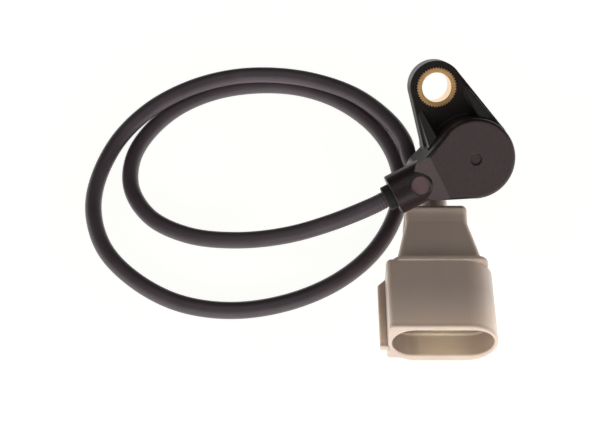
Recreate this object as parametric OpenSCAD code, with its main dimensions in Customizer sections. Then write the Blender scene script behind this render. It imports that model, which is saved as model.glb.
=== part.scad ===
// Inductive crankshaft position sensor with a moulded-on cable and a three-way plug.
// The head leans on the rim of its spigot, the plug lies flat, and the cable is looped on the table.
// Head pieces are drawn about the sensor axis: seat plane at zero, face towards +Z,
// cable sleeve towards -X, flange eye towards +Y. Plug pieces are drawn with the mouth towards +Z.

/* [Sensor head] */
// Radius of the round head
head_r = 9.2; // [8.6:0.1:9.8]
// Height of the face above the seat
face_h = 13.5; // [13:0.1:15]
// Chamfer round the face
rim_chamfer = 0.6; // [0.3:0.1:0.9]
// Radius of the dimple in the middle of the face
dimple_r = 1.3; // [0.8:0.1:2]
// Depth of the dimple
dimple_depth = 0.5; // [0.2:0.1:1]
// Radius of the shoulder that carries the sleeve
shoulder_r = 5; // [4.9:0.1:5.6]
// Distance of the shoulder from the sensor axis
shoulder_at = 10.1; // [9.4:0.1:11]
// Distance of the facet's crease from the sensor axis
facet_at = 9; // [8:0.1:9.6]
// Slope of the facet between face and sleeve
facet_slope = 29; // [20:1:34]

/* [Cable sleeve] */
// Radius of the sleeve
sleeve_r = 4.8; // [4.4:0.1:4.85]
// Distance of the sleeve's end from the sensor axis
sleeve_len = 20.2; // [19:0.2:24]
// Height of the sleeve's axis above the seat
sleeve_h = 7.6; // [7:0.1:8]
// Radius of the round flat on the sleeve
flat_r = 2.2; // [1.6:0.1:2.2]
// Distance of the flat's middle from the sleeve's end
flat_from_end = 6.4; // [5.4:0.1:7]
// Depth of the flat
flat_depth = 0.65; // [0.6:0.05:0.8]

/* [Flange] */
// Thickness of the flange
flange_t = 5; // [4.5:0.1:5.5]
// Radius of the fixing eye
eye_r = 6.1; // [5.7:0.1:6.8]
// Distance of the fixing eye from the sensor axis
eye_at = 17.4; // [17:0.1:19]
// Radius of the flange round the sensor axis
base_r = 10; // [9.9:0.1:11]
// Height of the gusset ribs above the flange
rib_h = 5; // [3:0.1:6]
// Distance of each rib's inner side from the flange's middle line
rib_in = 5.2; // [4.8:0.1:5.6]
// Width of each rib at its low end
rib_w = 1.2; // [0.8:0.1:1.5]
// Distance of each rib's low end from the eye's centre
rib_clear = 3.2; // [2.5:0.1:4]
// Length of each rib's slope
rib_run = 7.6; // [6:0.1:8.5]

/* [Fixing bush] */
// Radius of the bolt hole
bush_bore_r = 3.4; // [3.1:0.1:3.6]
// Radius over the knurl
bush_r = 4.65; // [4.4:0.05:5]
// Depth of the knurl
knurl_depth = 0.28; // [0.15:0.01:0.4]
// Number of knurl teeth
knurl_count = 44; // [30:1:60]
// Height of the bush over the flange
bush_proud = 0.15; // [0:0.05:0.4]

/* [Spigot] */
// Radius of the spigot
spigot_r = 7.9; // [7.7:0.1:8.3]
// Length of the spigot
spigot_len = 18.5; // [17:0.5:22]
// Chamfer at the spigot's tip
tip_chamfer = 0.5; // [0.3:0.1:0.8]
// Thickness of the seal ring's section
seal_d = 1.5; // [1.3:0.1:1.8]
// How far the seal ring stands out of the spigot
seal_stand = 0.35; // [0.2:0.05:0.5]
// Room beside the seal ring in its groove
seal_room = 0.25; // [0.1:0.05:0.4]
// Distance of the seal ring below the seat
seal_at = 3.2; // [2.6:0.1:5]

/* [Coil set] */
// Radius of the bobbin flanges and of the winding
coil_r = 5.6; // [5.5:0.1:6]
// Radius of the bobbin's barrel
barrel_r = 2.8; // [2.5:0.1:3.2]
// Radius of the pole core
pole_r = 1.9; // [1.5:0.1:2.2]
// Thickness of each bobbin flange
bobbin_flange_t = 1.3; // [1.2:0.1:1.8]
// Depth of the bobbin's upper flange below the seat
bobbin_drop = 1.5; // [1.2:0.1:2.5]
// Radius of the magnet
magnet_r = 2.6; // [2.3:0.1:2.8]
// Length of the magnet
magnet_len = 4.5; // [3:0.1:5.5]
// Wall of the bobbin round the magnet
magnet_wall = 1.2; // [0.8:0.1:1.3]
// Width of each square contact post
post_w = 0.8; // [0.7:0.05:0.9]
// Depth of each post in the bobbin flange
post_sink = 0.8; // [0.5:0.1:1]

/* [Cable] */
// Diameter of the cable
cable_d = 4; // [3.8:0.1:4.2]
// Diameter of each core
core_d = 1.1; // [0.9:0.1:1.2]
// Spacing of the two cores in the head
head_core_pitch = 1.8; // [1.5:0.1:2]
// Spacing of the three cores at the cable's end in the plug
plug_core_pitch = 1.3; // [1.3:0.05:1.4]
// Radius of the grommet
grommet_r = 2.95; // [2.7:0.05:3.3]
// Length of the grommet that shows
grommet_out = 2; // [1.5:0.1:3]
// Length of the grommet in the sleeve
grommet_in = 6; // [4:0.1:6.5]
// Length of the cable past the grommet, inside the head
cable_tail = 2; // [1:0.1:2.5]
// Length of the cable past the neck, inside the plug
cable_lead = 1; // [0.5:0.1:2]

/* [Plug] */
// Width of the shroud
plug_w = 24.4; // [23.4:0.1:26]
// Height of the mouth
mouth_h = 9.8; // [9.2:0.1:10.6]
// Length of the shroud
shroud_len = 19.3; // [18.4:0.1:21]
// Wall above the mouth
roof_wall = 1.6; // [1.3:0.1:1.8]
// Wall below the mouth
floor_wall = 2.4; // [2:0.1:2.8]
// Wall at the two round ends of the mouth
end_wall = 0.9; // [0.7:0.1:1.2]
// Depth of the mouth's wide part
mouth_depth = 5.4; // [5:0.1:7]
// Step between the mouth and the narrower seat behind it
seat_step = 0.6; // [0.3:0.1:0.8]
// Depth of the whole cavity
cavity_depth = 14; // [13:0.1:15]
// Height of the squared side's underside above the shroud's underside
side_lift = 1.1; // [0.5:0.1:2]
// Chamfer on the squared side
side_chamfer = 0.8; // [0.4:0.1:1.5]
// Width of the plate behind the shroud
plate_w = 22; // [21:0.1:24]
// Thickness of that plate
plate_t = 1.3; // [1:0.1:2]
// Corner radius of that plate
plate_r = 2.6; // [2:0.1:3.5]
// Reach of the coding rail
rail_reach = 1.7; // [1:0.1:2.5]
// Thickness of the coding rail
rail_t = 1.8; // [1.4:0.1:2.4]
// Depth of the coding rail's top below the middle
rail_drop = 1.2; // [0.8:0.1:2]
// Length of the coding rail
rail_len = 18.3; // [16:0.1:18.4]
// Width of the tapered back at the plate
taper_w = 19.6; // [18:0.1:21]
// Height of the tapered back at the plate
taper_h = 11; // [9.6:0.1:12]
// Length of the tapered back
taper_len = 12.6; // [12:0.1:16]
// Width of the collar
collar_w = 14.5; // [13:0.1:16]
// Height of the collar
collar_h = 9.4; // [8.6:0.1:10.5]
// Length of the collar
collar_len = 3.4; // [3:0.1:5]
// Corner radius of the collar and of the tapered back
collar_r = 1.3; // [0.8:0.1:2]
// Rounding of the collar's back edges
collar_round = 1.2; // [0.6:0.1:1.6]
// Radius of the cable neck
neck_r = 3.3; // [3:0.1:4]
// Length of the cable neck
neck_len = 5; // [4.5:0.1:5.4]

/* [Plug terminals] */
// Width of each blade
blade_w = 2.8; // [2.4:0.1:3]
// Thickness of each blade
blade_t = 0.8; // [0.6:0.05:1]
// Spacing of the blades
blade_pitch = 5; // [4.6:0.1:5.4]
// Depth of the blade tips behind the mouth
blade_tip_at = 6; // [5.5:0.1:8]
// Chamfer on the blade tips
blade_chamfer = 0.7; // [0.4:0.1:1]
// Radius of each crimp barrel
barrel_crimp_r = 1.1; // [0.9:0.05:1.3]
// Length of each crimp barrel
crimp_len = 4; // [3:0.1:5]
// Depth of the blade's root in the tapered back
blade_root = 2; // [1:0.1:3]

/* [Hidden] */
$fn = 64;
// Overshoot of cuts past the face that they open
over = 0.5;
// Straight sides between two rounds lie this much inside the tangent
tangent_dip = 0.02;

// How the head lies: its turn about the vertical, lean of its axis and roll about that axis
head_turn = 6;
head_lean = 50;
head_roll = 23;
head_xy = [5.2, -0.5];
head_z = (spigot_len - tip_chamfer) * cos(head_lean) + spigot_r * sin(head_lean);

// How the plug lies: the middle of its mouth over the table
plug_xy = [-2, -48];

shoulder_sine = (head_r - shoulder_r) / shoulder_at;
rib_far = eye_at - rib_clear;

groove_r = spigot_r + seal_stand - seal_d;
groove_w = seal_d + 2 * seal_room;

winding_bottom = -spigot_len + bobbin_flange_t;
bobbin_top = -bobbin_drop;
winding_top = bobbin_top - bobbin_flange_t;
magnet_bottom = bobbin_top;
magnet_top = magnet_bottom + magnet_len;
magnet_case_r = magnet_r + magnet_wall;
post_x = -(magnet_case_r + coil_r) / 2;
post_top = sleeve_h + core_d;

grommet_back = sleeve_len - grommet_in;
grommet_front = sleeve_len + grommet_out;
cable_in_head = grommet_back - cable_tail;

plug_h = mouth_h + roof_wall + floor_wall;
plug_top = mouth_h / 2 + roof_wall;
plug_lift = mouth_h / 2 + floor_wall;
back_end = shroud_len + taper_len;
collar_end = back_end + collar_len;
neck_end = collar_end + neck_len;
crimp_start = shroud_len + blade_root;
crimp_end = crimp_start + crimp_len;
cable_in_plug = collar_end - cable_lead;

// The cable's tube: sides, radius over its corners along the run and at its ends, how far each
// end lies inside the round cable in the grommet or neck, and the straight stub past it
tube_sides = 10;
tube_r = cable_d / 2 / cos(90 / tube_sides);
tube_end_r = 0.475 * cable_d;
tube_sink = 0.5;
stub = 3;
bed_z = cable_d / 2;
turn_gap = 0.1;
over_z = bed_z + cable_d + turn_gap;

// The lie of the cable from grommet to plug: down to the table, once round, once more outside
// and over the first turn at the back, then under the head
cable_lie = [
    [-26.5, -17, 11], [-37, -18, 7.5], [-48.5, -17.2, 4.6], [-60, -14.3, 2.7], [-69.5, -8.4, bed_z],
    [-74.8, 0.5, bed_z], [-75.2, 10.5, bed_z], [-71.5, 19.8, bed_z], [-64.5, 28, bed_z],
    [-55, 33.4, bed_z], [-44, 35.5, bed_z], [-33.5, 34.5, bed_z], [-24, 30.2, bed_z],
    [-15.5, 22.2, bed_z], [-10.5, 12.5, bed_z], [-8.9, 2, bed_z], [-11, -8.5, bed_z],
    [-16.5, -19, bed_z], [-25.5, -27.7, bed_z], [-37, -33.4, bed_z], [-49.5, -35.5, bed_z],
    [-61.5, -33.4, bed_z], [-72, -27, bed_z], [-79.8, -18, bed_z], [-83.5, -7, bed_z],
    [-83.3, 3.5, 2.2], [-79, 14.8, 4], [-71.6, 23.5, 5.8], [-62, 30.6, over_z],
    [-51.5, 34.6, over_z], [-41, 35.4, over_z], [-30, 33.4, over_z], [-19.5, 28.2, over_z],
    [-11.4, 19.7, over_z], [-7.8, 12.8, 6], [-6.6, 6.5, 5.8], [-4.5, 1, 6.6]
];

function turn_z(p, a) = [p[0] * cos(a) - p[1] * sin(a), p[0] * sin(a) + p[1] * cos(a), p[2]];
function turn_x(p, a) = [p[0], p[1] * cos(a) - p[2] * sin(a), p[1] * sin(a) + p[2] * cos(a)];
function lay_head(p) = [head_xy[0], head_xy[1], head_z]
    + turn_z(turn_x(turn_z(p, head_roll), head_lean), head_turn);
function lay_plug(p) = [plug_xy[0], plug_xy[1], plug_lift] + turn_x(p, 90);
function unit(v) = v / norm(v);

// Corners of the straight stretch between two rounds
function tangents(c1, r1, c2, r2) =
    let (along = unit(c2 - c1), aside = [-along[1], along[0]])
    let (s = (r1 - r2) / norm(c2 - c1), c = sqrt(1 - s * s))
    let (left = s * along + c * aside, right = s * along - c * aside)
    [c1 + r1 * left, c2 + r2 * left, c2 + r2 * right, c1 + r1 * right];

// The cable's points with its stubs, and the direction of the cable at each of them
cable_points = concat(
    [for (d = [-tube_sink, stub]) lay_head([-grommet_front - d, 0, sleeve_h])],
    cable_lie,
    [for (d = [stub, -tube_sink]) lay_plug([0, 0, -neck_end - d])]
);
cable_last = len(cable_points) - 1;
function cable_way(i) = i == 0 ? unit(cable_points[1] - cable_points[0])
    : i == cable_last ? unit(cable_points[i] - cable_points[i - 1])
    : unit(unit(cable_points[i + 1] - cable_points[i]) + unit(cable_points[i] - cable_points[i - 1]));
function cable_ring(i) =
    let (way = cable_way(i), aside = unit(cross(way, [0, 0, 1])), above = cross(aside, way))
    let (r = i == 0 || i == cable_last ? tube_end_r : tube_r)
    [for (k = [0:tube_sides - 1])
        let (a = 360 * (k + 0.5) / tube_sides - 90)
        cable_points[i] + r * (cos(a) * aside + sin(a) * above)];

// Puts a head piece where the head lies
module on_head() {
    translate([head_xy[0], head_xy[1], head_z])
        rotate([0, 0, head_turn])
            rotate([head_lean, 0, 0])
                rotate([0, 0, head_roll])
                    children();
}

// Puts a plug piece where the plug lies
module on_plug() {
    translate([plug_xy[0], plug_xy[1], plug_lift])
        rotate([90, 0, 0])
            children();
}

// A rod along the sleeve's axis between two distances from the sensor axis
module sleeve_rod(r, from, to) {
    translate([-from, 0, sleeve_h])
        rotate([0, -90, 0])
            cylinder(r = r, h = to - from);
}

// A rod along the plug's axis between two depths behind the mouth
module plug_rod(r, from, to) {
    translate([0, 0, -to])
        cylinder(r = r, h = to - from);
}

// Outline of two rounds and the straight sides between them
module link(c1, r1, c2, r2) {
    translate(c1) circle(r1);
    translate(c2) circle(r2);
    polygon(tangents(c1, r1 - tangent_dip, c2, r2 - tangent_dip));
}

// Oval with round ends
module stadium(w, h) {
    for (side = [-1, 1])
        translate([side * (w - h) / 2, 0])
            circle(h / 2);
    square([w - h, h - 2 * tangent_dip], center = true);
}

// Rectangle with round corners
module round_rect(w, h, r) {
    for (x = [-1, 1], y = [-1, 1])
        translate([x * (w / 2 - r), y * (h / 2 - r)])
            circle(r);
    square([w - 2 * r, h - 2 * tangent_dip], center = true);
    square([w - 2 * tangent_dip, h - 2 * r], center = true);
}

// Wedge that chamfers an edge at zero, drawn as the section across the edge
module chamfer_section(c) {
    polygon([[-c - over, over], [over, -c - over], [over, over]]);
}

// The chamfer round the face: the round part, then the two straight sides
module rim_cut() {
    start = -shoulder_sine * head_r;
    intersection() {
        rotate_extrude()
            translate([head_r, face_h])
                chamfer_section(rim_chamfer);
        translate([start, -2 * head_r, 0])
            cube([4 * head_r, 4 * head_r, 2 * face_h]);
    }
    for (side = [0, 1])
        mirror([0, side, 0])
            rotate([0, 0, 180 - acos(shoulder_sine)])
                translate([head_r - tangent_dip, -rim_chamfer, face_h])
                    rotate([-90, 0, 0])
                        mirror([0, 1, 0])
                            linear_extrude(shoulder_at + rim_chamfer)
                                chamfer_section(rim_chamfer);
}

// The head without its sleeve: round block, facet and chamfered rim
module head_block() {
    difference() {
        linear_extrude(face_h)
            link([0, 0], head_r, [-shoulder_at, 0], shoulder_r);
        rim_cut();
        translate([-facet_at, -head_r, face_h])
            rotate([0, -facet_slope, 0])
                translate([-2 * shoulder_at, 0, 0])
                    cube([2 * shoulder_at, 2 * head_r, face_h]);
        translate([0, 0, face_h - dimple_depth])
            cylinder(r = dimple_r, h = dimple_depth + over);
    }
}

// One gusset rib: it runs from beside the bush and meets the head at a tangent
module gusset() {
    low_end = [rib_in + rib_w, rib_far];
    touch = atan2(low_end[1], low_end[0]) - acos((head_r - tangent_dip) / norm(low_end));
    intersection() {
        linear_extrude(flange_t + rib_h)
            polygon([
                [rib_in, 0],
                (head_r - tangent_dip) * [cos(touch), sin(touch)],
                low_end,
                [rib_in, rib_far]
            ]);
        rotate([90, 0, 90])
            linear_extrude(head_r)
                polygon([
                    [0, 0],
                    [rib_far, 0],
                    [rib_far, flange_t],
                    [rib_far - rib_run, flange_t + rib_h],
                    [0, flange_t + rib_h]
                ]);
    }
}

// The sleeve with its round flat on the side of the face
module sleeve() {
    difference() {
        sleeve_rod(sleeve_r, 0, sleeve_len);
        translate([-sleeve_len + flat_from_end, 0, sleeve_h + sleeve_r - flat_depth])
            cylinder(r = flat_r, h = flat_depth + over);
    }
}

// The spigot with its tip chamfer and seal groove
module spigot() {
    groove_top = -seal_at + groove_w / 2;
    groove_bottom = -seal_at - groove_w / 2;
    rotate_extrude()
        polygon([
            [0, -spigot_len],
            [spigot_r - tip_chamfer, -spigot_len],
            [spigot_r, -spigot_len + tip_chamfer],
            [spigot_r, groove_bottom],
            [groove_r, groove_bottom],
            [groove_r, groove_top],
            [spigot_r, groove_top],
            [spigot_r, 0],
            [0, 0]
        ]);
}

// Room for the bobbin, winding, pole core and magnet, open at the tip
module coil_room() {
    rotate_extrude()
        polygon([
            [0, -spigot_len],
            [coil_r, -spigot_len],
            [coil_r, bobbin_top],
            [magnet_case_r, bobbin_top],
            [magnet_case_r, magnet_top],
            [0, magnet_top]
        ]);
}

// One square post from the bobbin's flange up to the core that ends on it
module post(i) {
    translate([post_x - post_w / 2, core_y(i) - post_w / 2, bobbin_top - post_sink])
        cube([post_w, post_w, post_top - bobbin_top + post_sink]);
}

function core_y(i) = (i - 1.5) * head_core_pitch;

// One core from the cable's end to its post
module core_in_head(i) {
    translate([0, core_y(i), 0])
        sleeve_rod(core_d / 2, -post_x + post_w / 2, cable_in_head);
}

// One core from the cable's end to its crimp barrel, cut square at both ends
module core_in_plug(i) {
    near = (i - 2) * plug_core_pitch;
    far = (i - 2) * blade_pitch;
    run = cable_in_plug - crimp_end;
    slant = atan((far - near) / run);
    intersection() {
        translate([(near + far) / 2, 0, -(cable_in_plug + crimp_end) / 2])
            rotate([0, slant, 0])
                cylinder(d = core_d, h = 2 * run, center = true);
        translate([-plug_w / 2, -plug_h / 2, -cable_in_plug])
            cube([plug_w, plug_h, run]);
    }
}

// One terminal: a blade with a chamfered tip and a crimp barrel
module terminal(i) {
    translate([(i - 2) * blade_pitch, 0, 0]) {
        rotate([90, 0, 0])
            translate([0, 0, -blade_t / 2])
                linear_extrude(blade_t)
                    polygon([
                        [-blade_w / 2, -crimp_start],
                        [blade_w / 2, -crimp_start],
                        [blade_w / 2, -blade_tip_at - blade_chamfer],
                        [blade_w / 2 - blade_chamfer, -blade_tip_at],
                        [-blade_w / 2 + blade_chamfer, -blade_tip_at],
                        [-blade_w / 2, -blade_tip_at - blade_chamfer]
                    ]);
        plug_rod(barrel_crimp_r, crimp_start, crimp_end);
    }
}

// Outline of the shroud: an oval with one squared side
module shroud_outline() {
    left = -plug_w / 2;
    top = plug_top - tangent_dip;
    bottom = -plug_lift + side_lift;
    translate([0, plug_top - plug_h / 2])
        stadium(plug_w, plug_h);
    polygon([
        [0, top],
        [left + side_chamfer, top],
        [left, top - side_chamfer],
        [left, bottom + side_chamfer],
        [left + side_chamfer, bottom],
        [0, bottom]
    ]);
}

// The coding rail with its sloped start
module rail() {
    root = -plug_w / 2 + side_chamfer;
    tip = -plug_w / 2 - rail_reach;
    translate([0, -rail_drop, 0])
        rotate([90, 0, 0])
            linear_extrude(rail_t)
                polygon([
                    [root, 0],
                    [tip, 0],
                    [tip, -rail_len + rail_reach],
                    [-plug_w / 2, -rail_len],
                    [root, -rail_len]
                ]);
}

// The tapered back, from the plate to the collar
module tapered_back() {
    skin = 0.01;
    hull() {
        translate([0, 0, -shroud_len])
            linear_extrude(skin)
                round_rect(taper_w, taper_h, collar_r, $fn = 32);
        translate([0, 0, -back_end])
            linear_extrude(skin)
                round_rect(collar_w, collar_h, collar_r, $fn = 32);
    }
}

// The collar behind the taper, its back edges rounded all round
module collar() {
    middle = -collar_end + collar_len;
    intersection() {
        translate([0, 0, -collar_end])
            linear_extrude(collar_len)
                round_rect(collar_w, collar_h, collar_r);
        translate([0, 0, middle])
            rotate([90, 0, 0])
                linear_extrude(2 * collar_h, center = true)
                    round_rect(collar_w + 2 * tangent_dip, 2 * collar_len, collar_round);
        translate([0, 0, middle])
            rotate([90, 0, 90])
                linear_extrude(2 * collar_w, center = true)
                    round_rect(collar_h + 2 * tangent_dip, 2 * collar_len, collar_round);
    }
}

// Black glass-filled housing: head, flange, ribs, sleeve and spigot in one moulding
module sensor_housing() {
    color("#2d2829")
        on_head()
            difference() {
                union() {
                    head_block();
                    linear_extrude(flange_t)
                        link([0, 0], base_r, [0, eye_at], eye_r);
                    for (side = [0, 1])
                        mirror([side, 0, 0])
                            gusset();
                    sleeve();
                    spigot();
                }
                translate([0, eye_at, -over])
                    cylinder(r = bush_r, h = flange_t + 2 * over);
                coil_room();
                for (i = [1, 2]) {
                    post(i);
                    core_in_head(i);
                }
                sleeve_rod(cable_d / 2, cable_in_head, sleeve_len);
                sleeve_rod(grommet_r, grommet_back, sleeve_len + over);
            }
}

// Knurled brass bush that takes the fixing bolt
module fixing_bush() {
    steps = 2 * knurl_count;
    color("#c9b98a")
        on_head()
            translate([0, eye_at, 0])
                difference() {
                    linear_extrude(flange_t + bush_proud)
                        polygon([for (k = [0:steps - 1])
                            let (r = bush_r - knurl_depth * (k % 2), a = 360 * k / steps)
                            r * [cos(a), sin(a)]]);
                    translate([0, 0, -over])
                        cylinder(r = bush_bore_r, h = flange_t + bush_proud + 2 * over);
                }
}

// Rubber ring in the spigot's groove
module spigot_seal() {
    color("#1c1c1e")
        on_head()
            translate([0, 0, -seal_at])
                rotate_extrude()
                    translate([groove_r + seal_d / 2, 0])
                        circle(d = seal_d);
}

// Soft iron core, flush with the tip
module pole_core() {
    color("#8a8d90")
        on_head()
            translate([0, 0, -spigot_len])
                cylinder(r = pole_r, h = spigot_len + magnet_bottom);
}

// Magnet on the core's back end
module bias_magnet() {
    color("#6b6e72")
        on_head()
            translate([0, 0, magnet_bottom])
                cylinder(r = magnet_r, h = magnet_len);
}

// Bobbin that carries the winding, the core, the magnet and the posts
module coil_bobbin() {
    color("#3a3436")
        on_head()
            difference() {
                rotate_extrude()
                    polygon([
                        [pole_r, -spigot_len],
                        [coil_r, -spigot_len],
                        [coil_r, winding_bottom],
                        [barrel_r, winding_bottom],
                        [barrel_r, winding_top],
                        [coil_r, winding_top],
                        [coil_r, bobbin_top],
                        [magnet_case_r, bobbin_top],
                        [magnet_case_r, magnet_top],
                        [magnet_r, magnet_top],
                        [magnet_r, magnet_bottom],
                        [pole_r, magnet_bottom]
                    ]);
                for (i = [1, 2])
                    post(i);
            }
}

// Winding, drawn as one ring of wire
module coil_winding() {
    color("#a4562c")
        on_head()
            translate([0, 0, winding_bottom])
                difference() {
                    cylinder(r = coil_r, h = winding_top - winding_bottom);
                    translate([0, 0, -over])
                        cylinder(r = barrel_r, h = winding_top - winding_bottom + 2 * over);
                }
}

// Contact post at one end of the winding
module contact_post(i) {
    color("#c0b27a")
        on_head()
            post(i);
}

// Core of the cable inside the head
module head_core(i) {
    color(i == 1 ? "#7c3a34" : "#d8d3c8")
        on_head()
            core_in_head(i);
}

// Rubber grommet round the cable at the sleeve's end
module cable_grommet() {
    color("#201d1e")
        on_head()
            difference() {
                sleeve_rod(grommet_r, grommet_back, grommet_front);
                sleeve_rod(cable_d / 2, grommet_back - over, grommet_front + over);
            }
}

// Cable: its end in the head, its free run and its end in the plug
module cable() {
    corner = [for (i = [0:cable_last]) each cable_ring(i)];
    function at(i, k) = i * tube_sides + k % tube_sides;
    sides = [for (i = [0:cable_last - 1], k = [0:tube_sides - 1]) each [
        [at(i, k), at(i + 1, k + 1), at(i + 1, k)],
        [at(i, k), at(i, k + 1), at(i + 1, k + 1)]
    ]];
    start = [for (k = [0:tube_sides - 1]) at(0, tube_sides - 1 - k)];
    end = [for (k = [0:tube_sides - 1]) at(cable_last, k)];
    color("#2a2527") {
        polyhedron(points = corner, faces = concat(sides, [start, end]));
        on_head()
            sleeve_rod(cable_d / 2, cable_in_head, grommet_front);
        on_plug()
            plug_rod(cable_d / 2, cable_in_plug, neck_end);
    }
}

// Grey plug housing: shroud, rail, plate, tapered back, collar and neck in one moulding
module plug_housing() {
    color("#857268")
        on_plug()
            difference() {
                union() {
                    translate([0, 0, -shroud_len])
                        linear_extrude(shroud_len)
                            shroud_outline();
                    translate([0, plug_top - plug_h / 2, -shroud_len])
                        linear_extrude(plate_t)
                            round_rect(plate_w, plug_h, plate_r);
                    rail();
                    tapered_back();
                    collar();
                    plug_rod(neck_r, collar_end - collar_len / 2, neck_end);
                }
                translate([0, 0, -mouth_depth])
                    linear_extrude(mouth_depth + over)
                        stadium(plug_w - 2 * end_wall, mouth_h);
                translate([0, 0, -cavity_depth])
                    linear_extrude(cavity_depth)
                        stadium(
                            plug_w - 2 * (end_wall + seat_step),
                            mouth_h - 2 * seat_step
                        );
                for (i = [1:3]) {
                    terminal(i);
                    core_in_plug(i);
                }
                plug_rod(cable_d / 2, cable_in_plug, neck_end + over);
            }
}

// Blade terminal in the plug
module blade_terminal(i) {
    color("#b9b2a2")
        on_plug()
            terminal(i);
}

// Core of the cable inside the plug
module plug_core(i) {
    color(i == 1 ? "#7c3a34" : i == 2 ? "#d8d3c8" : "#3c4f7a")
        on_plug()
            core_in_plug(i);
}

sensor_housing();
fixing_bush();
spigot_seal();
pole_core();
bias_magnet();
coil_bobbin();
coil_winding();
contact_post(1);  // contact_post_1
contact_post(2);  // contact_post_2
head_core(1);  // head_core_1
head_core(2);  // head_core_2
cable_grommet();
cable();
plug_housing();
blade_terminal(1);  // blade_terminal_1
blade_terminal(2);  // blade_terminal_2
blade_terminal(3);  // blade_terminal_3
plug_core(1);  // plug_core_1
plug_core(2);  // plug_core_2
plug_core(3);  // plug_core_3
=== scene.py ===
# %% [markdown]
# # A crankshaft position sensor, dressed in Blender
# The CAD model gives every piece its place and its true size. This lesson loads it as a fixed
# frame, gives the mouldings the rounded edges that come out of a steel tool, sweeps the cable,
# knurls the brass bush, and mixes each finish from what the real material is.
# All lengths are metres in the CAD's own frame, so nothing has to be fitted by eye.

# %% Load the frame
import math

import bmesh
import bpy
from mathutils import Matrix, Vector


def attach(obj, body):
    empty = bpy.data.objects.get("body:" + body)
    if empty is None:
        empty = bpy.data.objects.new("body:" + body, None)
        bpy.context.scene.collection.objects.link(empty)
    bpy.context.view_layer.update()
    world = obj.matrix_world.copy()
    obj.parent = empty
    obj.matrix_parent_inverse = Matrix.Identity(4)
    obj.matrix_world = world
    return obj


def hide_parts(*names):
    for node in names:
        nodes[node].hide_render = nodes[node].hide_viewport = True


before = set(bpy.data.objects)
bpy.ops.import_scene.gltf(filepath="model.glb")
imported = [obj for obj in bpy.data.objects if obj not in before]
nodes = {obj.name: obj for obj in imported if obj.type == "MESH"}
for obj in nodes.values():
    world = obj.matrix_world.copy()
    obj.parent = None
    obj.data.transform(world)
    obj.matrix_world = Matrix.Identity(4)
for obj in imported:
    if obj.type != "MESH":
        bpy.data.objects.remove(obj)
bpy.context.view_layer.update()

MM = 0.001

# %% [markdown]
# ## Where the two mouldings lie
# The sensor head rests on the tip of its spigot, leaning back, and the plug lies flat with its
# mouth to the front. A 4 x 4 matrix for each carries points from its own drawing to the table,
# in the same order of turns as the CAD source: roll about the axis, lean, turn.

# %% Places of the head and the plug
HEAD = (
    Matrix.Translation(Vector((5.2, -0.5, 17.622)) * MM)
    @ Matrix.Rotation(math.radians(6), 4, "Z")
    @ Matrix.Rotation(math.radians(50), 4, "X")
    @ Matrix.Rotation(math.radians(23), 4, "Z")
)
PLUG = Matrix.Translation(Vector((-2, -48, 7.3)) * MM) @ Matrix.Rotation(math.radians(90), 4, "X")
EYE_AT = 17.4


def on_head(x, y, z):
    return HEAD @ (Vector((x, y, z)) * MM)


def on_plug(depth):
    return PLUG @ (Vector((0, 0, -depth)) * MM)


print("fixing hole at, mm:", [round(v / MM, 2) for v in on_head(0, EYE_AT, 0)])

# %% [markdown]
# ## The camera
# A photograph fixes its own viewpoint: with the plug's and the head's known sizes, the place of
# the lens follows from where their edges fall in the picture. Here that gave a lens 344 mm away,
# looking down at 51.5 degrees, level, with no shift. A short function puts an object in the scene.

# %% Camera
CAMERA_DOWN = 51.5


def put(name, data):
    thing = bpy.data.objects.new(name, data)
    bpy.context.scene.collection.objects.link(thing)
    return thing


eye = put("eye", bpy.data.cameras.new("eye"))
eye.location = (-0.03363, -0.22084, 0.26922)
eye.rotation_euler = (math.radians(90 - CAMERA_DOWN), 0, 0)
eye.data.lens = 85
eye.data.sensor_width = 36
eye.data.clip_start = 0.01
bpy.context.scene.camera = eye
print("camera height, mm:", round(eye.location.z / MM, 1))

# %% [markdown]
# ## A node, a colour, a material
# Every finish and every Geometry Nodes tree below is a list of nodes, so one small function adds
# a node with its settings, its socket values and its links. Colours are written as the sRGB hex
# a painter would pick from a screen, and one function turns them to the linear values that the
# renderer works in. Another leads the finished colour, gloss and bumps into the shader.

# %% Helpers for nodes, colours and materials


def add(tree, kind, settings=None, values=None, links=None):
    node = tree.nodes.new(kind)
    for key, value in (settings or {}).items():
        setattr(node, key, value)
    for key, value in (values or {}).items():
        node.inputs[key].default_value = value
    for key, source in (links or {}).items():
        tree.links.new(source, node.inputs[key])
    return node


def linear(code):
    parts = [int(code[i:i + 2], 16) / 255 for i in (1, 3, 5)]
    return [c / 12.92 if c <= 0.04045 else ((c + 0.055) / 1.055) ** 2.4 for c in parts] + [1.0]


def start_material(name, **sockets):
    material = bpy.data.materials.new(name)
    material.use_nodes = True
    tree = material.node_tree
    tree.nodes.clear()
    place = add(tree, "ShaderNodeTexCoord").outputs["Object"]
    shader = add(tree, "ShaderNodeBsdfPrincipled",
                 values={key.replace("_", " "): value for key, value in sockets.items()})
    add(tree, "ShaderNodeOutputMaterial", links={"Surface": shader.outputs["BSDF"]})
    return material, tree, place, shader


def feed(tree, shader, **sources):
    for key, source in sources.items():
        tree.links.new(source, shader.inputs[key.replace("_", " ")])


def per_mm(size):
    return 1 / (size * MM)


print("mid grey #808080 is linear", round(linear("#808080")[0], 3))

# %% [markdown]
# ## Cable jacket
# The jacket is extruded polyurethane: near black with a warm mauve cast, matte, with a surface
# of very fine grain. Extruding leaves slow changes of gloss along its length. The grain is drawn
# at 0.35 mm, a little coarser than life, so that it still shows at this distance.

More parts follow.
